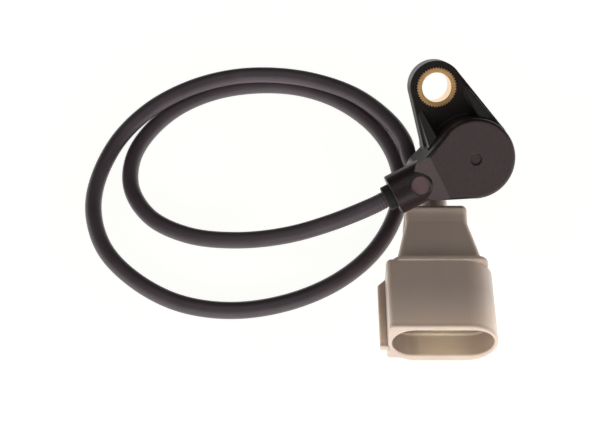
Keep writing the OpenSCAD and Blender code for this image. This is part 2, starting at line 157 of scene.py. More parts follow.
# %% Material: extruded polyurethane
jacket, tree, place, shader = start_material("extruded_polyurethane", IOR=1.5)
grain = add(tree, "ShaderNodeTexNoise", values={"Scale": per_mm(0.35), "Detail": 3.0},
            links={"Vector": place})
cloud = add(tree, "ShaderNodeTexNoise", values={"Scale": per_mm(9), "Detail": 2.0},
            links={"Vector": place})
tint = add(tree, "ShaderNodeValToRGB", links={"Fac": cloud.outputs["Fac"]})
tint.color_ramp.elements[0].position = 0.3
tint.color_ramp.elements[0].color = linear("#473D42")
tint.color_ramp.elements[1].position = 0.7
tint.color_ramp.elements[1].color = linear("#51464C")
gloss = add(tree, "ShaderNodeMapRange", values={"To Min": 0.34, "To Max": 0.46},
            links={"Value": cloud.outputs["Fac"]})
bump = add(tree, "ShaderNodeBump", values={"Strength": 0.25, "Distance": 0.02 * MM},
           links={"Height": grain.outputs["Fac"]})
feed(tree, shader, Base_Color=tint.outputs["Color"], Roughness=gloss.outputs["Result"],
     Normal=bump.outputs["Normal"])
print("made", jacket.name)

# %% [markdown]
# ## The cable
# The cable leaves the grommet straight, comes down to the table, goes once round, once more
# outside that, over its own first turn at the back, and under the head into the plug's neck.
# The points are those of the CAD route, in millimetres. A centripetal Catmull-Rom curve passes
# through each of them without overshooting, and the jacket never sinks below the table.

# %% Route of the cable
CABLE_R = 2.0
SLEEVE_H = 7.6
GROMMET_END = 22.2
NECK_END = 40.3
CABLE_IN_HEAD, CABLE_IN_PLUG = 12.2, 34.3
LIE = [
    (-26.5, -17, 11), (-37, -18, 7.5), (-48.5, -17.2, 4.6), (-60, -14.3, 2.7), (-69.5, -8.4, 2),
    (-74.8, 0.5, 2), (-75.2, 10.5, 2), (-71.5, 19.8, 2), (-64.5, 28, 2), (-55, 33.4, 2),
    (-44, 35.5, 2), (-33.5, 34.5, 2), (-24, 30.2, 2), (-15.5, 22.2, 2), (-10.5, 12.5, 2),
    (-8.9, 2, 2), (-11, -8.5, 2), (-16.5, -19, 2), (-25.5, -27.7, 2), (-37, -33.4, 2),
    (-49.5, -35.5, 2), (-61.5, -33.4, 2), (-72, -27, 2), (-79.8, -18, 2), (-83.5, -7, 2),
    (-83.3, 3.5, 2.2), (-79, 14.8, 4), (-71.6, 23.5, 5.8), (-62, 30.6, 6.1), (-51.5, 34.6, 6.1),
    (-41, 35.4, 6.1), (-30, 33.4, 6.1), (-19.5, 28.2, 6.1), (-11.4, 19.7, 6.1), (-7.8, 12.8, 6),
    (-6.6, 6.5, 5.8), (-4.5, 1, 6.6),
]
HEAD_TAIL = [on_head(-d, 0, SLEEVE_H) for d in (CABLE_IN_HEAD, GROMMET_END, GROMMET_END + 3)]
PLUG_TAIL = [on_plug(d) for d in (NECK_END + 3, NECK_END, CABLE_IN_PLUG)]
route = HEAD_TAIL + [Vector(p) * MM for p in LIE] + PLUG_TAIL


def smooth_line(points, per_span):
    ends = [2 * points[0] - points[1]] + points + [2 * points[-1] - points[-2]]
    line = []
    for a, b, c, d in zip(ends, ends[1:], ends[2:], ends[3:]):
        tb = math.sqrt((b - a).length)
        tc = tb + math.sqrt((c - b).length)
        td = tc + math.sqrt((d - c).length)
        for k in range(per_span):
            t = tb + (tc - tb) * k / per_span
            ab = a.lerp(b, t / tb)
            bc = b.lerp(c, (t - tb) / (tc - tb))
            cd = c.lerp(d, (t - tc) / (td - tc))
            early, late = ab.lerp(bc, t / tc), bc.lerp(cd, (t - tb) / (td - tb))
            line.append(early.lerp(late, (t - tb) / (tc - tb)))
    return line + [points[-1]]


centreline = smooth_line(route, 10)
for point in centreline:
    point.z = max(point.z, CABLE_R * MM)
INNER = (GROMMET_END - CABLE_IN_HEAD) * MM

# %% [markdown]
# ## Sweeping the cable with Geometry Nodes
# A curve with a bevel would do for a plain tube. This jacket also carries a short zone of grip
# rings beside the grommet, so a tree sweeps a circle along the line and then lifts the surface
# by a cosine of the distance from the grommet, fading out. The sizes are inputs of the tree.

# %% Geometry Nodes: cable tree


def new_tree(name, inputs):
    tree = bpy.data.node_groups.new(name, "GeometryNodeTree")
    tree.interface.new_socket("Geometry", in_out="INPUT", socket_type="NodeSocketGeometry")
    for label, kind in inputs:
        tree.interface.new_socket(label, in_out="INPUT", socket_type="NodeSocket" + kind)
    tree.interface.new_socket("Geometry", in_out="OUTPUT", socket_type="NodeSocketGeometry")
    return tree, add(tree, "NodeGroupInput").outputs


def close_tree(tree, geometry, material):
    whole = add(tree, "GeometryNodeRealizeInstances", links={"Geometry": geometry})
    dressed = add(tree, "GeometryNodeSetMaterial",
                  links={"Geometry": whole.outputs["Geometry"], "Material": material})
    add(tree, "NodeGroupOutput", links={"Geometry": dressed.outputs["Geometry"]})


def run_tree(name, tree, host, values):
    worker = put(name + "_host", host)
    modifier = worker.modifiers.new("nodes", "NODES")
    modifier.node_group = tree
    sockets = {i.name: i.identifier for i in tree.interface.items_tree if i.in_out == "INPUT"}
    for label, value in values.items():
        modifier[sockets[label]] = value
    shown = worker.evaluated_get(bpy.context.evaluated_depsgraph_get())
    mesh = bpy.data.meshes.new_from_object(shown)
    bpy.data.objects.remove(worker)
    return put(name, mesh)


cable_tree, given = new_tree("cable_sweep", [
    ("Radius", "Float"), ("Sides", "Int"), ("Ring Spacing", "Float"), ("Grip Start", "Float"),
    ("Grip Length", "Float"), ("Grip Pitch", "Float"), ("Grip Depth", "Float"),
    ("Material", "Material")])
tree = cable_tree
line = add(tree, "GeometryNodeMeshToCurve", links={"Mesh": given["Geometry"]})
even = add(tree, "GeometryNodeResampleCurve", {"mode": "LENGTH"},
           links={"Curve": line.outputs["Curve"], "Length": given["Ring Spacing"]})
along = add(tree, "GeometryNodeSplineParameter")
marked = add(tree, "GeometryNodeStoreNamedAttribute", {"data_type": "FLOAT", "domain": "POINT"},
             {"Name": "along"},
             {"Geometry": even.outputs["Curve"], "Value": along.outputs["Length"]})
ring = add(tree, "GeometryNodeCurvePrimitiveCircle",
           links={"Radius": given["Radius"], "Resolution": given["Sides"]})
tube = add(tree, "GeometryNodeCurveToMesh", values={"Fill Caps": True},
           links={"Curve": marked.outputs["Geometry"], "Profile Curve": ring.outputs["Curve"]})
where = add(tree, "GeometryNodeInputNamedAttribute", {"data_type": "FLOAT"}, {"Name": "along"})
out = add(tree, "ShaderNodeMath", {"operation": "SUBTRACT"},
          links={0: where.outputs["Attribute"], 1: given["Grip Start"]})
turns = add(tree, "ShaderNodeMath", {"operation": "DIVIDE"},
            links={0: out.outputs[0], 1: given["Grip Pitch"]})
angle = add(tree, "ShaderNodeMath", {"operation": "MULTIPLY"}, {1: 2 * math.pi},
            {0: turns.outputs[0]})
wave = add(tree, "ShaderNodeMath", {"operation": "COSINE"}, links={0: angle.outputs[0]})
dip = add(tree, "ShaderNodeMath", {"operation": "SUBTRACT"}, {1: 1.0}, {0: wave.outputs[0]})
share = add(tree, "ShaderNodeMath", {"operation": "DIVIDE"},
            links={0: out.outputs[0], 1: given["Grip Length"]})
fade = add(tree, "ShaderNodeMapRange", {"interpolation_type": "SMOOTHSTEP"},
           {"To Min": 1.0, "To Max": 0.0}, {"Value": share.outputs[0]})
deep = add(tree, "ShaderNodeMath", {"operation": "MULTIPLY"},
           links={0: dip.outputs[0], 1: fade.outputs["Result"]})
lift = add(tree, "ShaderNodeMath", {"operation": "MULTIPLY"},
           links={0: deep.outputs[0], 1: given["Grip Depth"]})
normal = add(tree, "GeometryNodeInputNormal")
offset = add(tree, "ShaderNodeVectorMath", {"operation": "SCALE"},
             links={0: normal.outputs["Normal"], "Scale": lift.outputs[0]})
ribbed = add(tree, "GeometryNodeSetPosition",
             links={"Geometry": tube.outputs["Mesh"], "Offset": offset.outputs["Vector"]})
soft = add(tree, "GeometryNodeSetShadeSmooth", links={"Geometry": ribbed.outputs["Geometry"]})
close_tree(tree, soft.outputs["Geometry"], given["Material"])
print("nodes in the cable tree:", len(tree.nodes))

# %% Cable piece
host = bpy.data.meshes.new("cable_line")
host.from_pydata(centreline, [(i, i + 1) for i in range(len(centreline) - 1)], [])
cable = run_tree("cable_jacket", cable_tree, host, {
    "Radius": CABLE_R * MM, "Sides": 18, "Ring Spacing": 0.13 * MM, "Grip Start": INNER,
    "Grip Length": 7 * MM, "Grip Pitch": 0.7 * MM, "Grip Depth": 0.05 * MM, "Material": jacket})
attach(cable, "root")
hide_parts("cable")
print("cable faces:", len(cable.data.polygons))

# %% [markdown]
# ## Rounded edges
# A moulded part has no true sharp edge: the steel tool is cut with small radii, and a rounded
# edge is what catches the light. The CAD meshes are loose triangles, so each moulding is copied,
# its vertices are merged and its flat faces are made whole. Each edge then gets a bevel weight,
# its own radius, which fades to nothing where two faces meet almost flat. A rule in the piece's
# own drawing says how large the radius is, and where an edge stays sharp because another piece
# sits tight against it. Weighted normals keep the flat faces flat.

# %% Helper: rounded copy of a CAD node
WIDEST = 1.0
FLAT, SHARP = math.radians(22), math.radians(48)
SAME_PLANE, SAME_PLACE = math.radians(0.3), 0.001 * MM


def merged(node):
    work = bmesh.new()
    work.from_mesh(nodes[node].data)
    bmesh.ops.remove_doubles(work, verts=work.verts, dist=SAME_PLACE)
    return work


def new_piece(name, work):
    mesh = bpy.data.meshes.new(name)
    work.to_mesh(mesh)
    work.free()
    return put(name, mesh)


def flat_faces_flat(piece):
    even = piece.modifiers.new("flat_faces_flat", "WEIGHTED_NORMAL")
    even.weight = 100
    even.keep_sharp = True


def moulded_copy(node, name, drawing, radius_at):
    work = merged(node)
    bmesh.ops.dissolve_limit(work, angle_limit=SAME_PLANE, verts=work.verts, edges=work.edges)
    weight = work.edges.layers.float.new("bevel_weight_edge")
    to_drawing = drawing.inverted()
    for face in work.faces:
        face.smooth = True
    for edge in work.edges:
        share = min(max((edge.calc_face_angle(0) - FLAT) / (SHARP - FLAT), 0), 1)
        if share > 0:
            middle = to_drawing @ ((edge.verts[0].co + edge.verts[1].co) / 2) / MM
            edge[weight] = share * radius_at(*middle) / WIDEST
            edge.smooth = edge[weight] > 0
    piece = new_piece(name, work)
    edge = piece.modifiers.new("edge_radius", "BEVEL")
    edge.width = WIDEST * MM
    edge.segments = 3
    edge.limit_method = "WEIGHT"
    edge.use_clamp_overlap = False
    edge.miter_outer = "MITER_ARC"
    flat_faces_flat(piece)
    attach(piece, "root")
    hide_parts(node)
    print(name, "faces before the bevel:", len(piece.data.polygons))
    return piece


def dress(piece, material):
    piece.data.materials.clear()
    piece.data.materials.append(material)


# %% [markdown]
# ## The sensor housing
# One black moulding holds everything: the disc head, the shoulder that runs out to the sleeve,
# the flange with its eye and two gusset ribs, and the spigot that reaches into the engine block.
# In its drawing the sensor axis is Z, the sleeve runs along -X at a height of 7.6 mm and the eye
# is at Y 17.4. The seats of the coil, the bush and the grommet stay sharp, and so do the cuts on
# the sleeve. Edges round the spigot are only broken.

# %% Sensor housing
MOULD_EDGE, BROKEN_EDGE = 0.3, 0.08
COIL_ROOM_R, COIL_ROOM_TOP = 6.2, 6
SLEEVE_BORE_R, EYE_BORE_R = 3.3, 4.9
CORE_ROOM_HALF, CORE_ROOM_END, CORE_ROOM_TOP = 3, -14, 13
SLEEVE_CUTS, SLEEVE_HALF, SLEEVE_END = (-19.9, -9.3), 5.6, -20.3
BELOW_SEAT = -0.5


def housing_radius(x, y, z):
    in_coil_room = math.hypot(x, y) < COIL_ROOM_R and z < COIL_ROOM_TOP
    in_bore = math.hypot(y, z - SLEEVE_H) < SLEEVE_BORE_R and x > SLEEVE_END
    in_eye = math.hypot(x, y - EYE_AT) < EYE_BORE_R
    in_core_room = abs(y) < CORE_ROOM_HALF and CORE_ROOM_END < x < 0 and z < CORE_ROOM_TOP
    on_sleeve = SLEEVE_CUTS[0] < x < SLEEVE_CUTS[1] and abs(y) < SLEEVE_HALF
    if in_coil_room or in_bore or in_eye or in_core_room or on_sleeve:
        return 0
    return BROKEN_EDGE if z < BELOW_SEAT else MOULD_EDGE


housing = moulded_copy("sensor_housing", "housing_moulding", HEAD, housing_radius)

# %% [markdown]
# ## The tool's finish and a painted sheen on each face
# A mould copies its own surface into the plastic. Most of this tool is polished, so most of the
# housing is glossy and looks deep black. The disc face is spark-eroded to a fine grain, which
# scatters light; its paler, warmer look is a painted sheen. Walls along the tool's draw are scuffed
# as the part slides out. The facet beside the face is ground, the sleeve is smoothed with a stone,
# and on it the gate was cut off flat. These three are painted paler too, most of all the cut gate:
# a painted sheen for the light they catch. Each face of the mesh stores its roughness and its
# painted sheen, and the material below reads them as attributes.

# %% Finish of each housing face
# Each finish is a roughness and a painted sheen: the second number paints the face paler, standing
# in for the light it catches.
FINISHES = {"polished": (0.29, 0.0), "drawn": (0.4, 0.0), "ground": (0.36, 0.34),
            "cut": (0.48, 0.8), "eroded": (0.56, 0.25), "stoned": (0.34, 0.07)}
FACET_SLOPE = math.radians(29)
FACET = Vector((-math.sin(FACET_SLOPE), 0, math.cos(FACET_SLOPE)))
SLEEVE_FROM = -11.5
FACE_LOW, GATE_LOW, GATE_HIGH = 12.9, 11.6, 11.9
ON_FACE, ALIGNED, UPRIGHT = 0.85, 0.99, 0.1


def finish_of(middle, out):
    if out.z > ON_FACE and middle.z > FACE_LOW:
        return "eroded"
    if out.dot(FACET) > ALIGNED:
        return "ground"
    if out.z > ALIGNED and GATE_LOW < middle.z < GATE_HIGH:
        return "cut"
    if middle.x < SLEEVE_FROM:
        return "stoned"
    return "drawn" if abs(out.z) < UPRIGHT else "polished"


def store_finish(piece):
    to_head = HEAD.inverted()
    roughness_of = piece.data.attributes.new("tool_roughness", "FLOAT", "FACE")
    painted_sheen_of = piece.data.attributes.new("painted_sheen", "FLOAT", "FACE")
    made = {kind: 0.0 for kind in FINISHES}
    for face in piece.data.polygons:
        kind = finish_of(to_head @ face.center / MM, to_head.to_3x3() @ face.normal)
        roughness_of.data[face.index].value, painted_sheen_of.data[face.index].value = FINISHES[kind]
        made[kind] += face.area / MM ** 2
    print(piece.name, "finish, mm2:", {kind: round(area, 1) for kind, area in made.items()})


store_finish(housing)

# %% [markdown]
# ## Glass-filled PBT
# The moulding compound is polybutylene terephthalate with about a third of short glass fibre,
# dyed black. The fibres leave a faint mottle, drawn at 0.5 mm, and the eroded grain is drawn at
# 0.25 mm, about four times coarser than life, so that it still shows at this distance. The black
# isn't neutral: it has the brown-mauve cast of a carbon dye.

# %% Material: glass-filled PBT
pbt, tree, place, shader = start_material("glass_filled_pbt", IOR=1.5)
tool = add(tree, "ShaderNodeAttribute", {"attribute_name": "tool_roughness"})
painted_pale = add(tree, "ShaderNodeAttribute", {"attribute_name": "painted_sheen"})
fibre = add(tree, "ShaderNodeTexNoise", values={"Scale": per_mm(0.5), "Detail": 4.0},
            links={"Vector": place})
mottle = add(tree, "ShaderNodeMapRange",
             values={"From Min": 0.3, "From Max": 0.7, "To Min": -0.06, "To Max": 0.06},
             links={"Value": fibre.outputs["Fac"]})
amount = add(tree, "ShaderNodeMath", {"operation": "ADD", "use_clamp": True},
             links={0: painted_pale.outputs["Fac"], 1: mottle.outputs["Result"]})
# The paler shade is painted sheen, mixed in by each face's stored share; the fibre mottle varies it
# at random.
tint = add(tree, "ShaderNodeMix", {"data_type": "RGBA"},
           {6: linear("#1E1617"), 7: linear("#6C4F54")}, {0: amount.outputs[0]})
pits = add(tree, "ShaderNodeTexNoise", values={"Scale": per_mm(0.25), "Detail": 2.0},
           links={"Vector": place})
depth = add(tree, "ShaderNodeMapRange",
            values={"From Min": 0.26, "From Max": 0.6, "To Min": 0.05, "To Max": 0.4},
            links={"Value": tool.outputs["Fac"]})
bump = add(tree, "ShaderNodeBump", values={"Distance": 0.03 * MM},
           links={"Height": pits.outputs["Fac"], "Strength": depth.outputs["Result"]})
feed(tree, shader, Base_Color=tint.outputs[2], Roughness=tool.outputs["Fac"],
     Normal=bump.outputs["Normal"])
dress(housing, pbt)
print("made", pbt.name)

# %% [markdown]
# ## Grommet and seal
# A short rubber collar closes the sleeve round the cable, and a rubber ring seals the spigot in
# its bore. Only the collar's outer edges are rounded, because its bore sits on the cable.

# %% Grommet
SHOWN_FROM, BORE_EDGE_R, RUBBER_EDGE = -21, 2.4, 0.35


def grommet_radius(x, y, z):
    outside = x < SHOWN_FROM and math.hypot(y, z - SLEEVE_H) > BORE_EDGE_R
    return RUBBER_EDGE if outside else 0


grommet = moulded_copy("cable_grommet", "grommet_ring", HEAD, grommet_radius)

# %% [markdown]
# Nitrile rubber is filled with carbon black. It is a neutral, soft black with a broad dull shine,
# and a thin bloom of wax makes it a little greyer in places. Its grain, from the tool's blasted
# wall, is drawn at 0.3 mm. This and most finishes below change in tone and gloss together, so one
# function takes the pattern, two shades, two roughnesses and the relief: height, strength, depth.

# %% Material: nitrile rubber


def vary(tree, shader, pattern, shades, roughness, relief=None):
    tint = add(tree, "ShaderNodeMix", {"data_type": "RGBA"},
               {6: linear(shades[0]), 7: linear(shades[1])}, {0: pattern})
    dull = add(tree, "ShaderNodeMapRange", values={"To Min": roughness[0], "To Max": roughness[1]},
               links={"Value": pattern})
    feed(tree, shader, Base_Color=tint.outputs[2], Roughness=dull.outputs["Result"])
    if relief:
        height, strength, depth = relief
        bump = add(tree, "ShaderNodeBump", values={"Strength": strength, "Distance": depth * MM},
                   links={"Height": height})
        feed(tree, shader, Normal=bump.outputs["Normal"])
    return tint.outputs[2]


rubber, tree, place, shader = start_material("nitrile_rubber", IOR=1.52)
bloom = add(tree, "ShaderNodeTexNoise", values={"Scale": per_mm(2.5), "Detail": 3.0},
            links={"Vector": place})
grain = add(tree, "ShaderNodeTexNoise", values={"Scale": per_mm(0.3), "Detail": 2.0},
            links={"Vector": place})
vary(tree, shader, bloom.outputs["Fac"], ("#171516", "#262324"), (0.5, 0.72),
     (grain.outputs["Fac"], 0.2, 0.02))
dress(grommet, rubber)
dress(nodes["spigot_seal"], rubber)
print("made", rubber.name)

# %% [markdown]
# ## The plug housing, from outlines
# The plug is a moulding whose every section is a simple outline with rounded corners: an oval
# with one squared side for the shroud, rectangles for the plate, the tapered back and the collar,
# circles for the neck. So it is drawn the way it could be modelled by hand: an outline is a list
# of corners with radii, and a shell is a stack of that outline at several heights, drawn in by a
# few tenths of a millimetre where an edge is rounded. Where the stack passes from one outline to
# another, the second takes its points in the directions of the first, so the faces stay clean.

# %% Helpers: rounded outlines and shells
ARC_STEPS = 5
STRAIGHT_STEPS = 12
SAME = 1e-5


def outline(corners):
    points = []
    for before, here, after in zip(corners[-1:] + corners[:-1], corners, corners[1:] + corners[:1]):
        corner, radius = Vector(here[:2]), here[2]
        back = (Vector(before[:2]) - corner).normalized()
        ahead = (Vector(after[:2]) - corner).normalized()
        half = back.angle(ahead) / 2
        side = 1 if back.cross(ahead) < 0 else -1
        centre = corner + (back + ahead).normalized() * radius / math.sin(half)
        start = (corner + back * radius / math.tan(half) - centre).normalized()
        steps = 4 + int(3 * radius)
        for k in range(steps + 1):
            arm = Matrix.Rotation(side * (math.pi - 2 * half) * k / steps, 2) @ start
            point = centre + arm * radius
            if not points or (point - points[-1][0]).length > SAME:
                points.append((point, arm * side))
    if (points[0][0] - points[-1][0]).length < SAME:
        points.pop()
    closed = []
    for (a, out), (b, next_out) in zip(points, points[1:] + points[:1]):
        steps = STRAIGHT_STEPS if (out - next_out).length < SAME else 1
        closed += [(a.lerp(b, k / steps), out) for k in range(steps)]
    return closed


def follow(shape, guide):
    around = sorted((math.atan2(p.y, p.x), p, n) for p, n in shape)
    first, last = around[0], around[-1]
    lap = 2 * math.pi
    around = [(last[0] - lap, *last[1:])] + around + [(first[0] + lap, *first[1:])]
    found = []
    for point, _ in guide:
        angle = math.atan2(point.y, point.x)
        k = next(i for i, item in enumerate(around) if item[0] > angle)
        (a, p, n), (b, q, m) = around[k - 1], around[k]
        share = (angle - a) / (b - a)
        found.append((p.lerp(q, share), n.lerp(m, share)))
    return found


def box(left, right, low, high, radius):
    corners = ((right, low), (right, high), (left, high), (left, low))
    return outline([(x, y, radius) for x, y in corners])


def turn(z0, in0, z1, in1, along_z):
    path = []
    for k in range(ARC_STEPS + 1):
        late = 1 - math.cos(math.pi / 2 * k / ARC_STEPS)
        early = math.sin(math.pi / 2 * k / ARC_STEPS)
        z, inset = (early, late) if along_z else (late, early)
        path.append((z0 + (z1 - z0) * z, in0 + (in1 - in0) * inset))
    return path


def bridge(work, a, b):
    for corners in zip(a, a[1:] + a[:1], b[1:] + b[:1], b):
        work.faces.new(corners)


def shell(name, place, sections):
    work = bmesh.new()
    last = None
    for shape, path in sections:
        for z, inset in path:
            ring = [work.verts.new((*(p - n * inset), z)) for p, n in shape]
            if last is None:
                work.faces.new(ring)
            else:
                bridge(work, last, ring)
            last = ring
    work.faces.new(last)
    bmesh.ops.recalc_face_normals(work, faces=work.faces)
    work.transform(place @ Matrix.Scale(MM, 4))
    piece = new_piece(name, work)
    print(name, "faces:", len(piece.data.polygons))
    return piece


# %% [markdown]
# The shroud's outline has full rounds on one side and a squared side that carries the rail. Its
# stack starts at the back, comes forward along the outside, rounds the rim, and goes in: over the
# rim's inner edge, along the mouth, over the step of the seat and down to the cavity's floor.
# Depths are millimetres behind the mouth's rim, so they are negative.

# %% Shroud and plate
SHROUD = outline([(12.2, -7.3, 6.9), (12.2, 6.5, 6.9), (-12.2, 6.5, 1.2), (-12.2, -6.2, 1.0),
                  (-9.3, -6.2, 0.5), (-6.9, -7.3, 3.0)])
MOUTH_END, MOUTH_R = 11.3, 4.9
MOUTH = follow(box(-MOUTH_END, MOUTH_END, -MOUTH_R, MOUTH_R, MOUTH_R), SHROUD)
RIM_OUT, RIM_IN, STEP = 0.45, 0.35, 0.6
SEAT_AT, SEAT_EDGE, SEAT_FOOT = -5.4, 0.1, 0.15
FLOOR_AT, FLOOR_FOOT = -14, 0.2
BACK_AT, BACK_EDGE = -18, 0.6
shroud = shell("shroud", PLUG, [
    (SHROUD, turn(BACK_AT - BACK_EDGE, BACK_EDGE, BACK_AT, 0, False)
     + turn(-RIM_OUT, 0, 0, RIM_OUT, True)),
    (MOUTH, turn(0, -RIM_IN, -RIM_IN, 0, False)
     + turn(SEAT_AT + SEAT_EDGE, 0, SEAT_AT, SEAT_EDGE, True)
     + turn(SEAT_AT, STEP - SEAT_FOOT, SEAT_AT - SEAT_FOOT, STEP, False)
     + turn(FLOOR_AT + FLOOR_FOOT, STEP, FLOOR_AT, STEP + FLOOR_FOOT, True)),
])
PLATE = box(-11, 11, -7.25, 6.85, 2.6)
PLATE_END, PLATE_BACK_EDGE, PLATE_FRONT_EDGE = -19.3, 0.5, 0.25
plate = shell("plate", PLUG, [
    (PLATE,
     turn(PLATE_END, PLATE_BACK_EDGE, PLATE_END + PLATE_BACK_EDGE, 0, False)
     + turn(BACK_AT - PLATE_FRONT_EDGE, 0, BACK_AT, PLATE_FRONT_EDGE, True))])

# %% [markdown]
# The back narrows from the plate to the collar. The collar's top rises by 0.8 mm to a lip, for the
# finger that pulls the plug, and its far edges are well rounded. The neck is open for the cable.
# The rail is a bar with a sloped start, drawn from the side.

# %% Tapered back, neck and rail
WIDE = box(-9.8, 9.8, -5.5, 5.5, 1.3)
COLLAR_START, COLLAR_TOP, COLLAR_END = -30.6, -33.8, -35.3
COLLAR_RISE, COLLAR_ROUND = 0.8, 1.2
LIP_STEPS = (0, 0.03, 0.2, 0.4, 0.55, 0.7, 0.8, 0.9, 1)


def collar_outline(share):
    rise = COLLAR_RISE * (0.25 * share + 0.75 * share ** 4)
    return box(-7.25, 7.25, -4.7, 4.7 + rise, 1.3)


lip = [(collar_outline(share), [(COLLAR_START + (COLLAR_TOP - COLLAR_START) * share, 0)])
       for share in LIP_STEPS]
back = shell("tapered_back", PLUG, [
    (WIDE, [(BACK_AT - 0.5, 0), (BACK_AT - 1, 0)]),
    (collar_outline(0), [(COLLAR_START + 0.1, 0)]), *lip,
    (collar_outline(1), turn(COLLAR_TOP - 0.2, 0.0, COLLAR_END, COLLAR_ROUND, True))])
NECK_R, NECK_EDGE, NECK_ROOT = 3.3, 0.5, -33
neck = shell("neck", PLUG, [
    (box(-NECK_R, NECK_R, -NECK_R, NECK_R, NECK_R),
     [(NECK_ROOT, 0)] + turn(-NECK_END + NECK_EDGE, 0, -NECK_END, NECK_EDGE, True))])
RAIL_LOW, RAIL_HIGH, RAIL_EDGE = 1.2, 3.0, 0.3
rail = shell("rail", PLUG @ Matrix.Rotation(math.pi / 2, 4, "X"), [
    (outline([(-11.8, -18.3, 0.1), (-11.8, 0, 0.1), (-13.9, 0, 0.35), (-13.9, -16.6, 0.5),
              (-12.2, -18.3, 0.1)]),
     turn(RAIL_LOW, RAIL_EDGE, RAIL_LOW + RAIL_EDGE, 0, False)
     + turn(RAIL_HIGH - RAIL_EDGE, 0, RAIL_HIGH, RAIL_EDGE, True))])

# %% [markdown]
# Boolean modifiers weld the shells to one moulding. The same exact method cuts the seats of the
# cable, the blades and the cores, with merged copies of the CAD nodes as the cutters, so each of
# them sits in its own pocket.

# %% Plug housing
CABLE_SEAT = box(-CABLE_R, CABLE_R, -CABLE_R, CABLE_R, CABLE_R)
bore = shell("cable_seat", PLUG, [(CABLE_SEAT, [(-NECK_END - 4, 0), (-CABLE_IN_PLUG, 0)])])
IN_PLUG = [f"{kind}_{i}" for kind in ("blade_terminal", "plug_core") for i in (1, 2, 3)]
cutters = [bore] + [new_piece(name + "_seat", merged(name)) for name in IN_PLUG]
for operation, others in (("UNION", [plate, back, neck, rail]), ("DIFFERENCE", cutters)):
    for other in others:
        weld = shroud.modifiers.new(other.name, "BOOLEAN")
        weld.operation = operation
        weld.solver = "EXACT"
        weld.object = other
whole = shroud.evaluated_get(bpy.context.evaluated_depsgraph_get())
plug = put("plug_moulding", bpy.data.meshes.new_from_object(whole))
for helper in [shroud, plate, back, neck, rail] + cutters:
    bpy.data.objects.remove(helper)
plug.data.shade_smooth()
plug.data.set_sharp_from_angle(angle=math.radians(35))
flat_faces_flat(plug)
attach(plug, "root")
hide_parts("plug_housing")
print("plug faces:", len(plug.data.polygons))

# %% [markdown]
# ## Painted light and shade in the plug's mouth
# Inside the mouth light comes through the wall, and it is painted into the colour: painted light,
# most in the middle and less at the two ends, and painted shade at the ends, most at the end beside
# the rail, where the wall is thick. Each point stores both shares.

# %% Where the plug's mouth gets painted light and painted shade
MOUTH_CORE = MOUTH_END - MOUTH_R
NEAR_WALL, RIM_SKIN, FLOOR_SKIN = 0.05, 0.3, 0.1
MOST_LIGHT, RAIL_END_SHADE, FREE_END_SHADE = 0.8, 1.0, 0.6
painted_light_of = plug.data.attributes.new("painted_mouth_light", "FLOAT", "POINT")
painted_shade_of = plug.data.attributes.new("painted_mouth_end_shade", "FLOAT", "POINT")
to_plug = PLUG.inverted()
# Each point in the mouth gets a share of painted light and a share of painted shade.
for vertex in plug.data.vertices:
    spot = to_plug @ vertex.co / MM
    off_axis = math.hypot(max(abs(spot.x) - MOUTH_CORE, 0), spot.y)
    if off_axis < MOUTH_R + NEAR_WALL and FLOOR_AT - FLOOR_SKIN < spot.z < -RIM_SKIN:
        off_middle = min(abs(spot.x) / MOUTH_END, 1) ** 2
        painted_light_of.data[vertex.index].value = MOST_LIGHT * (1 - off_middle)
        end_shade = RAIL_END_SHADE if spot.x < 0 else FREE_END_SHADE
        painted_shade_of.data[vertex.index].value = off_middle * end_shade
print("points in the mouth:", sum(item.value > 0 for item in painted_light_of.data))

# %% [markdown]
# ## Warm grey polyamide
# The plug is polyamide in a warm grey. Unlike the black compound it lets some light in: walls of
# one or two millimetres glow a little and warm where light stands behind them, as round the mouth.
# Subsurface scattering gives that, with a reach of a few millimetres. Melt that froze along the
# flow leaves long soft streaks of gloss and tone, here along the plug's axis, 4 mm apart. The
# colour then passes three painted tints: a painted glow on the thin wall just behind the mouth,
# painted light inside the mouth, and painted shade at the mouth's ends.

# %% Material: polyamide
MOUTH_Y = -48 * MM
PAINTED_GLOW_REACH = 11 * MM
polyamide, tree, place, shader = start_material(
    "polyamide_warm_grey", IOR=1.53, Subsurface_Weight=0.5, Subsurface_Radius=(1.0, 0.92, 0.65),
    Subsurface_Scale=2.0 * MM)
flow = add(tree, "ShaderNodeMapping", values={"Scale": (1.0, 0.2, 1.0)}, links={"Vector": place})
streak = add(tree, "ShaderNodeTexNoise", values={"Scale": per_mm(4), "Detail": 3.0},
             links={"Vector": flow.outputs["Vector"]})
skin = add(tree, "ShaderNodeTexNoise", values={"Scale": per_mm(0.4), "Detail": 2.0},
           links={"Vector": place})
colour = vary(tree, shader, streak.outputs["Fac"], ("#BEABA0", "#CAB7AB"), (0.26, 0.38),
              (skin.outputs["Fac"], 0.1, 0.02))
# Painted glow: the colour turns paler just behind the mouth and fades out over 11 mm.
parts = add(tree, "ShaderNodeSeparateXYZ", links={"Vector": place})
depth = add(tree, "ShaderNodeMapRange",
            values={"From Min": MOUTH_Y, "From Max": MOUTH_Y + PAINTED_GLOW_REACH},
            links={"Value": parts.outputs["Y"]})
painted_glow = add(tree, "ShaderNodeValToRGB", links={"Fac": depth.outputs["Result"]})
painted_glow.color_ramp.elements[1].color = (0.0, 0.0, 0.0, 1.0)
glow = painted_glow.color_ramp.elements.new(0.12)
glow.color = (1.0, 1.0, 1.0, 1.0)
cavity = add(tree, "ShaderNodeAttribute", {"attribute_name": "painted_mouth_light"})
ends = add(tree, "ShaderNodeAttribute", {"attribute_name": "painted_mouth_end_shade"})
